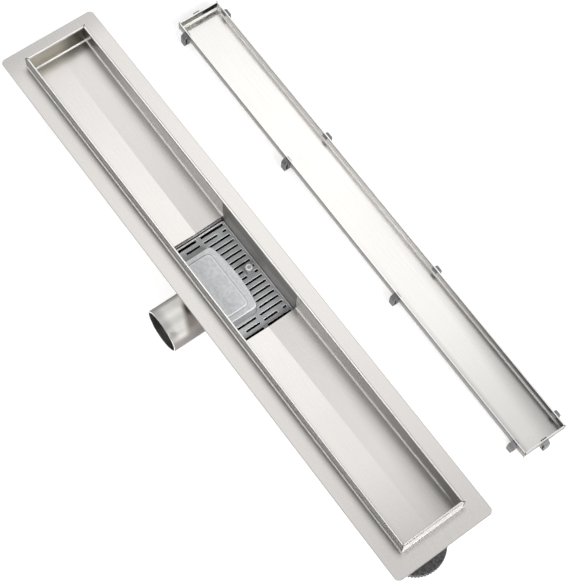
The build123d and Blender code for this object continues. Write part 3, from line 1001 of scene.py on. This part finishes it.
# Painted highlights on its top edges and panel outline, a painted shadow line outside the panel, and painted
# shade on its sides below the top.
CAP = Plastic(
    "cap plastic",
    (0.42, 0.430, 0.442),
    (0.53, 0.540, 0.552),
    roughness=0.40,
    grain_scale=900.0,
    flow_scale=320.0,
    bump=0.3,
    top=50.0 * MM,
    rubbed=(0.74, 0.75, 0.76),
    rubbed_depth=0.8 * MM,
    deep=(0.36, 0.37, 0.38),
    panel=Panel(mm(0.0, -16.2), mm(32.3, 13.0), 5.0 * MM),
)
# A painted highlight just under its top, and painted shade in its recess and down its side.
POST = Plastic(
    "post plastic",
    (0.52, 0.52, 0.53),
    (0.58, 0.58, 0.59),
    top=47.0 * MM,
    rubbed=(0.66, 0.66, 0.67),
    rubbed_depth=0.5 * MM,
    deep=(0.30, 0.30, 0.305),
)
CLIP = Plastic("clip plastic", (0.135, 0.135, 0.14), (0.175, 0.175, 0.18), roughness=0.40)
FOOT = Plastic(
    "black foot plastic",
    (0.008, 0.008, 0.009),
    (0.066, 0.066, 0.070),
    roughness=0.46,
    grain_scale=700.0,
    flow_scale=420.0,
    bump=0.6,
)
HOUSING = Plastic("housing plastic", (0.19, 0.195, 0.20), (0.23, 0.235, 0.24))
SEAL = Plastic("seal rubber", (0.012, 0.012, 0.012), (0.020, 0.020, 0.020), roughness=0.62)

FINISHES: dict[str, Finish] = {
    "channel_body": CHANNEL,
    "sump_box": SUMP,
    "outlet_pipe": TUBE,
    "strainer": GRILLE,
    "trap_cap": CAP,
    "lift_post": POST,
    "outlet_housing": HOUSING,
    "outlet_seal": SEAL,
    "cover_tray": TRAY,
    "bracket": SHEET,
    "nut": ZINC,
    "stud": ZINC,
    "clip": CLIP,
    "foot": FOOT,
}


def finish_of(node: str) -> Finish:
    """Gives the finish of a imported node, by the word that its name holds."""
    return next(finish for word, finish in FINISHES.items() if word in node)


def dress_nodes(nodes: dict[str, bpy.types.Object]) -> None:
    """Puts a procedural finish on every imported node.

    Args:
        nodes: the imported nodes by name.
    """
    for name, node in nodes.items():
        node.data.materials.clear()
        node.data.materials.append(finish_of(name).material())
        log.info("%s wears %s", name, node.data.materials[0].name)


@dataclass(frozen=True)
class Span:
    """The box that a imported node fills, read from its mesh."""

    low: Vector
    high: Vector

    @classmethod
    def of(cls, node: bpy.types.Object) -> Span:
        """Measures a node.

        Args:
            node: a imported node, whose place is in its mesh.

        Returns:
            Its span.
        """
        places = [node.matrix_world @ vertex.co for vertex in node.data.vertices]
        return cls(*(Vector(map(pick, zip(*places))) for pick in (min, max)))

    @property
    def middle(self) -> Vector:
        """The middle of the box."""
        return (self.low + self.high) / 2

    @property
    def size(self) -> Vector:
        """The box's size along each axis."""
        return self.high - self.low


def finish_piece(name: str, finish: Finish, body: str = ROOT_BODY, smooth: float = 0.7) -> bpy.types.Object:
    """Settles the active object as a finished piece that rides on a body.

    Args:
        name: the piece's name.
        finish: what it wears.
        body: the body that it moves with.
        smooth: the angle in radians under which faces are shaded smooth.

    Returns:
        The piece.
    """
    piece = bpy.context.object
    piece.name = piece.data.name = name
    bpy.ops.object.transform_apply(location=True, rotation=True, scale=True)
    bpy.ops.object.shade_smooth_by_angle(angle=smooth)
    piece.data.materials.append(finish.material())
    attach(piece, body)
    log.info("%s rides on %s", name, body)
    return piece


def copy_piece(piece: bpy.types.Object, name: str, move: Matrix) -> None:
    """Copies a finished piece of the drain, with a mesh of its own.

    Args:
        piece: the piece that was modelled first.
        name: the copy's name.
        move: how it is moved and mirrored, in the drain's frame.
    """
    bpy.ops.object.select_all(action="DESELECT")
    twin = piece.copy()
    twin.data = piece.data.copy()
    twin.name = twin.data.name = name
    bpy.context.scene.collection.objects.link(twin)
    twin.parent = None
    twin.matrix_world = Matrix.Identity(4)
    twin.data.transform(move)
    if move.determinant() < 0:
        twin.data.flip_normals()
    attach(twin, ROOT_BODY)
    log.info("%s rides on %s", name, ROOT_BODY)


def lay_rod(radius: float, length: float, middle: Place, turn: Place = ORIGIN, sides: int = 12) -> None:
    """Lays a straight rod, upright or turned to X or Y, as the active object."""
    size = {"radius": radius, "depth": length}
    bpy.ops.mesh.primitive_cylinder_add(vertices=sides, location=middle, rotation=turn, **size)


def mirror(x: float = 1.0, y: float = 1.0) -> Matrix:
    """Gives the mirroring along X, Y or both, each by a factor of 1 or -1."""
    return Matrix.Diagonal((x, y, 1.0, 1.0))


@dataclass
class StudThread:
    """The rolled thread on a levelling stud."""

    side: Side
    span: Span
    start: float
    pitch: float = 1.25 * MM
    ridge: float = 0.42 * MM
    sink: float = 0.22 * MM
    steps: int = 20
    corners: int = 3
    turns_short: int = 2
    merge_gap: float = 0.01 * MM
    smooth: float = 0.5

    def build(self) -> bpy.types.Object:
        """Winds one ridge up the stud, from the foot's hub to near its end.

        Returns:
            The thread, which rides on the foot's body.
        """
        name = self.side.value
        section = {"vertices": self.corners, "radius": self.ridge, "fill_type": "NOTHING"}
        bpy.ops.mesh.primitive_circle_add(location=ORIGIN, **section)
        ridge = bpy.context.object
        bpy.ops.object.mode_set(mode="EDIT")
        bpy.ops.mesh.select_all(action="SELECT")
        bpy.ops.transform.rotate(value=-math.pi / 2, orient_axis="Z", center_override=ORIGIN)
        bpy.ops.transform.rotate(value=math.pi / 2, orient_axis="X", center_override=ORIGIN)
        bpy.ops.transform.translate(value=(self.span.size.x / 2 - self.sink, 0.0, 0.0))
        bpy.ops.object.mode_set(mode="OBJECT")
        screw = ridge.modifiers.new("wind", "SCREW")
        screw.screw_offset = self.pitch
        screw.iterations = int((self.span.high.z - self.start) / self.pitch) - self.turns_short
        screw.steps = screw.render_steps = self.steps
        screw.use_merge_vertices = True
        bpy.ops.object.modifier_apply(modifier="wind")
        bpy.ops.object.mode_set(mode="EDIT")
        bpy.ops.mesh.select_all(action="SELECT")
        bpy.ops.mesh.remove_doubles(threshold=self.merge_gap)
        bpy.ops.mesh.normals_make_consistent(inside=False)
        bpy.ops.object.mode_set(mode="OBJECT")
        ridge.location = (*self.span.middle.xy, self.start + self.pitch)
        return finish_piece(f"{name}_stud_thread", ZINC, f"{name}_foot_screw", smooth=self.smooth)


@dataclass
class TubeEnds:
    """The outlet tube's weld at its root and its bright cut mouth."""

    span: Span
    bead: float = 1.1 * MM
    bead_out: float = 0.2
    bead_back: float = 0.3
    wall: float = 1.2 * MM
    edge: float = 0.55 * MM
    around: int = 96
    across: int = 12

    def ring(self, name: str, y: float, major: float, minor: float, finish: Finish) -> bpy.types.Object:
        """Lays a round ring on the tube's end.

        Args:
            name: the ring's name.
            y: where its middle lies along the tube.
            major: the radius of its middle line.
            minor: the radius of its section.
            finish: what it wears.

        Returns:
            The ring.
        """
        middle = self.span.middle
        bpy.ops.mesh.primitive_torus_add(
            major_segments=self.around,
            minor_segments=self.across,
            major_radius=major,
            minor_radius=minor,
            location=(middle.x, y, middle.z),
            rotation=TO_Y,
        )
        return finish_piece(name, finish)

    def build(self) -> None:
        """Makes both rings, the weld sunk a little into the tube's skin and its end."""
        radius = self.span.size.x / 2
        root = self.span.high.y - self.bead_back * self.bead
        self.ring("outlet_root_weld", root, radius + self.bead_out * self.bead, self.bead, WELD)
        self.ring("outlet_mouth_edge", self.span.low.y, radius - self.wall / 2, self.edge, BRIGHT)


@dataclass
class CornerSeams:
    """Welded mitres at the corners of a folded rim, each with a dark strip painted as the shadow in its gap.
    """

    name: str
    rim: Rim
    bead: float = 0.55 * MM
    bead_inset: float = 0.35
    bead_gap: float = 1.5
    crown_gap: float = 0.75 * MM
    crown_fill: float = 0.96
    proud: float = 0.12 * MM

    def upright(self) -> None:
        """Makes the bead up the corner where both outer faces meet, in the rim's frame."""
        height = -self.rim.foot - self.bead_gap * self.bead
        inset = self.bead_inset * self.bead
        place = (self.rim.half_length - inset, self.rim.half_width - inset, -self.bead - height / 2)
        lay_rod(self.bead, height, place)

    def mitre(self) -> None:
        """Makes a dark strip across the crown, painted as the shadow in the mitre's gap, in the rim's frame.
        """
        reach = self.rim.wall / 2
        place = (self.rim.half_length - reach, self.rim.half_width - reach, 0.0)
        bpy.ops.mesh.primitive_cube_add(size=1.0, location=place, rotation=(0.0, 0.0, math.pi / 4))
        length = self.rim.wall * math.sqrt(2.0) * self.crown_fill
        bpy.context.object.scale = (length, self.crown_gap, 2 * self.proud)

    def build(self) -> None:
        """Makes one corner and mirrors it to the other three, in the rim's frame."""
        place = self.rim.place()
        for make, part, finish in ((self.upright, "corner_weld", WELD), (self.mitre, "mitre_line", SEAM_SHADOW)):
            make()
            bpy.ops.object.transform_apply(location=True, rotation=True, scale=True)
            bpy.context.object.data.transform(place)
            first = finish_piece(f"{self.name}_{part}_1", finish)
            for number, signs in enumerate(((-1, 1), (-1, -1), (1, -1)), start=2):
                across = place @ mirror(*signs) @ place.inverted()
                copy_piece(first, f"{self.name}_{part}_{number}", across)


@dataclass
class BracketWelds:
    """Spot welds that hold a bracket to the trough, and the beads that hold it to the flange."""

    side: Side
    span: Span
    spot: float = 2.4 * MM
    spot_proud: float = 0.15 * MM
    spot_spread: float = 8.0 * MM
    spot_drop: float = 14.0 * MM
    spot_sides: int = 24
    bead: float = 1.0 * MM
    bead_share: float = 0.6

    def build(self) -> None:
        """Makes one of each on the outlet's side and copies it."""
        name = self.side.value
        middle = self.span.middle
        face, top = self.span.low.y, self.span.high.z
        along = Matrix.Translation((2 * self.spot_spread, 0.0, 0.0))
        across = mirror(y=-1.0)
        place = (middle.x - self.spot_spread, face, top - self.spot_drop)
        lay_rod(self.spot, 2 * self.spot_proud, place, TO_Y, self.spot_sides)
        spot = finish_piece(f"{name}_spot_weld_1", WELD)
        for number, move in enumerate((along, across, along @ across), start=2):
            copy_piece(spot, f"{name}_spot_weld_{number}", move)
        lay_rod(self.bead, self.bead_share * self.span.size.x, (middle.x, face, top), TO_X)
        bead = finish_piece(f"{name}_flange_weld_1", WELD)
        copy_piece(bead, f"{name}_flange_weld_2", across)


@dataclass
class SumpWelds:
    """The beads where the sump's ends meet the underside of the trough."""

    span: Span
    bead: float = 0.9 * MM
    rim_level: float = 42.5 * MM

    def build(self) -> None:
        """Makes the bead at one end and mirrors it."""
        place = (self.span.high.x, 0.0, self.rim_level - self.bead)
        lay_rod(self.bead, self.span.size.y - 2 * self.bead, place, TO_Y)
        bead = finish_piece("sump_end_weld_1", WELD)
        copy_piece(bead, "sump_end_weld_2", mirror(x=-1.0))


def add_pieces(nodes: dict[str, bpy.types.Object]) -> None:
    """Models the small pieces that the solids leave out.

    Args:
        nodes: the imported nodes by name.
    """
    TubeEnds(Span.of(nodes["outlet_pipe"])).build()
    SumpWelds(Span.of(nodes["sump_box"])).build()
    CornerSeams("upstand", UPSTAND).build()
    CornerSeams("tray", TRAY_WALL, bead=0.4 * MM).build()
    for side in Side:
        hub = Span.of(nodes[f"{side.value}_foot"]).high.z
        StudThread(side, Span.of(nodes[f"{side.value}_stud"]), start=hub).build()
        BracketWelds(side, Span.of(nodes[f"{side.value}_bracket"])).build()


@dataclass(frozen=True)
class SoftBox:
    """One lamp of the studio; only a mirrored one shows in the steel."""

    name: str
    place: Place
    size: float
    power: float
    mirrored: bool = False

    def hang(self) -> None:
        """Hangs the lamp, aimed at the drain."""
        lamp = bpy.data.lights.new(self.name, "AREA")
        lamp.shape = "DISK"
        lamp.size = self.size
        lamp.energy = self.power
        holder = bpy.data.objects.new(self.name, lamp)
        bpy.context.scene.collection.objects.link(holder)
        holder.location = self.place
        holder.rotation_euler = (-Vector(self.place)).to_track_quat("-Z", "Y").to_euler()
        holder.visible_glossy = self.mirrored


@dataclass
class Studio:
    """Camera, floor, lamps and sky."""

    floor_level: float = -33.0 * MM
    floor_size: float = 40.0
    floor_colour: Colour = (0.56, 0.56, 0.56)
    floor_roughness: float = 0.9
    floor_glow: float = 0.6
    far_glow: float = 0.6
    far_span: Pair = (1.2, 3.0)
    camera_place: Place = (0.48412, -0.32593, 1.31776)
    camera_aim: Place = (0.04538, 0.02866, 0.06000)
    camera_roll: float = 3.070
    lens: float = 90.83
    film: float = 36.0
    clip: Pair = (0.01, 100.0)
    bright_way: Place = (-0.372, 0.373, 0.850)
    sky_strength: float = 1.6
    sky_stops: tuple[Pair, ...] = (
        (-1.0, 0.17),
        (0.0, 0.25),
        (0.50, 0.34),
        (0.80, 0.43),
        (0.90, 0.45),
        (0.95, 0.47),
        (0.965, 0.51),
        (0.98, 0.63),
        (0.99, 0.78),
        (1.0, 0.94),
    )
    dim_way: Place = (-0.6, 1.0, 0.0)
    dim_span: Pair = (-0.18, 0.0)
    dim_level: float = 0.30
    lamps: tuple[SoftBox, ...] = (
        SoftBox("key", (1.5, -1.6, 1.3), 2.0, 60.0),
        SoftBox("fill", (1.9, 0.4, 1.7), 1.0, 33.0),
        SoftBox("glint", (1.9, 0.4, 1.7), 1.2, 20.0, mirrored=True),
    )

    def place_camera(self) -> None:
        """Sets the camera where the photograph was taken from."""
        lens = bpy.data.cameras.new("photo_camera")
        lens.sensor_fit = "VERTICAL"
        lens.sensor_height = self.film
        lens.lens = self.lens
        lens.clip_start, lens.clip_end = self.clip
        camera = bpy.data.objects.new("photo_camera", lens)
        bpy.context.scene.collection.objects.link(camera)
        line_of_sight = Vector(self.camera_aim) - Vector(self.camera_place)
        turn = line_of_sight.to_track_quat("-Z", "Y").to_matrix().to_4x4()
        roll = Matrix.Rotation(math.radians(self.camera_roll), 4, "Z")
        camera.matrix_world = Matrix.Translation(self.camera_place) @ turn @ roll
        bpy.context.scene.camera = camera

    def lay_floor(self) -> None:
        """Lays the plain pale floor under the feet, which shows near white to the eye and in the steel."""
        bpy.ops.mesh.primitive_plane_add(size=self.floor_size, location=(0.0, 0.0, self.floor_level))
        floor = bpy.context.object
        floor.name = "studio_floor"
        coat = Coat("pale floor")
        coat.set(Base_Color=self.floor_colour, Roughness=self.floor_roughness)
        far_off = coat.grow(coat.vector("LENGTH", coat.place(), gives="Value"), *self.far_span)
        strength = coat.math("MULTIPLY_ADD", far_off, self.far_glow, self.floor_glow)
        glow = coat.add("ShaderNodeEmission", {"Color": WHITE, "Strength": strength})
        plain = coat.shader.outputs["BSDF"]
        lifted = coat.add("ShaderNodeAddShader", {0: plain, 1: glow.outputs["Emission"]}).outputs[0]
        seen = coat.add("ShaderNodeLightPath").outputs
        by_eye = coat.largest(seen["Is Camera Ray"], seen["Is Glossy Ray"], seen["Is Transmission Ray"])
        choose = coat.add("ShaderNodeMixShader", {"Fac": by_eye, 1: plain, 2: lifted})
        coat.fill(coat.output, {"Surface": choose.outputs[0]})
        floor.data.materials.append(coat.material)

    def paint_sky(self) -> None:
        """Fills the room with soft light, brightest overhead, and shows white behind the object."""
        world = bpy.data.worlds.new("studio sky")
        bpy.context.scene.world = world
        world.use_nodes = True
        world.node_tree.nodes.clear()
        wiring = Wiring(world.node_tree)
        way = wiring.add("ShaderNodeTexCoord").outputs["Generated"]
        bright_way = Vector(self.bright_way).normalized()
        toward = wiring.vector("DOT_PRODUCT", way, bright_way, gives="Value")
        stops = [((place + 1) / 2, (level,) * 3) for place, level in self.sky_stops]
        tone = wiring.ramp(wiring.remap(toward, (-1.0, 1.0), (0.0, 1.0)), *stops)
        across = wiring.vector("DOT_PRODUCT", way, self.dim_way, gives="Value")
        shaded = wiring.scaled(tone, wiring.remap(across, self.dim_span, (self.dim_level, 1.0)))
        sky = wiring.add("ShaderNodeBackground", {"Color": shaded, "Strength": self.sky_strength})
        white = wiring.add("ShaderNodeBackground", {"Color": WHITE, "Strength": 1.0})
        seen = wiring.add("ShaderNodeLightPath").outputs["Is Camera Ray"]
        choose = wiring.add("ShaderNodeMixShader", {"Fac": seen, 1: sky.outputs[0], 2: white.outputs[0]})
        wiring.add("ShaderNodeOutputWorld", {"Surface": choose.outputs[0]})

    def set_up(self) -> None:
        """Sets the whole studio."""
        self.place_camera()
        self.lay_floor()
        for lamp in self.lamps:
            lamp.hang()
        self.paint_sky()
        bpy.context.scene.view_settings.view_transform = "Standard"


def main() -> None:
    """Loads the frame, dresses it and sets the studio."""
    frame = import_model()
    bpy.ops.object.select_all(action="DESELECT")
    dress_nodes(frame["nodes"])
    add_pieces(frame["nodes"])
    Studio().set_up()


if __name__ == "__main__":
    main()
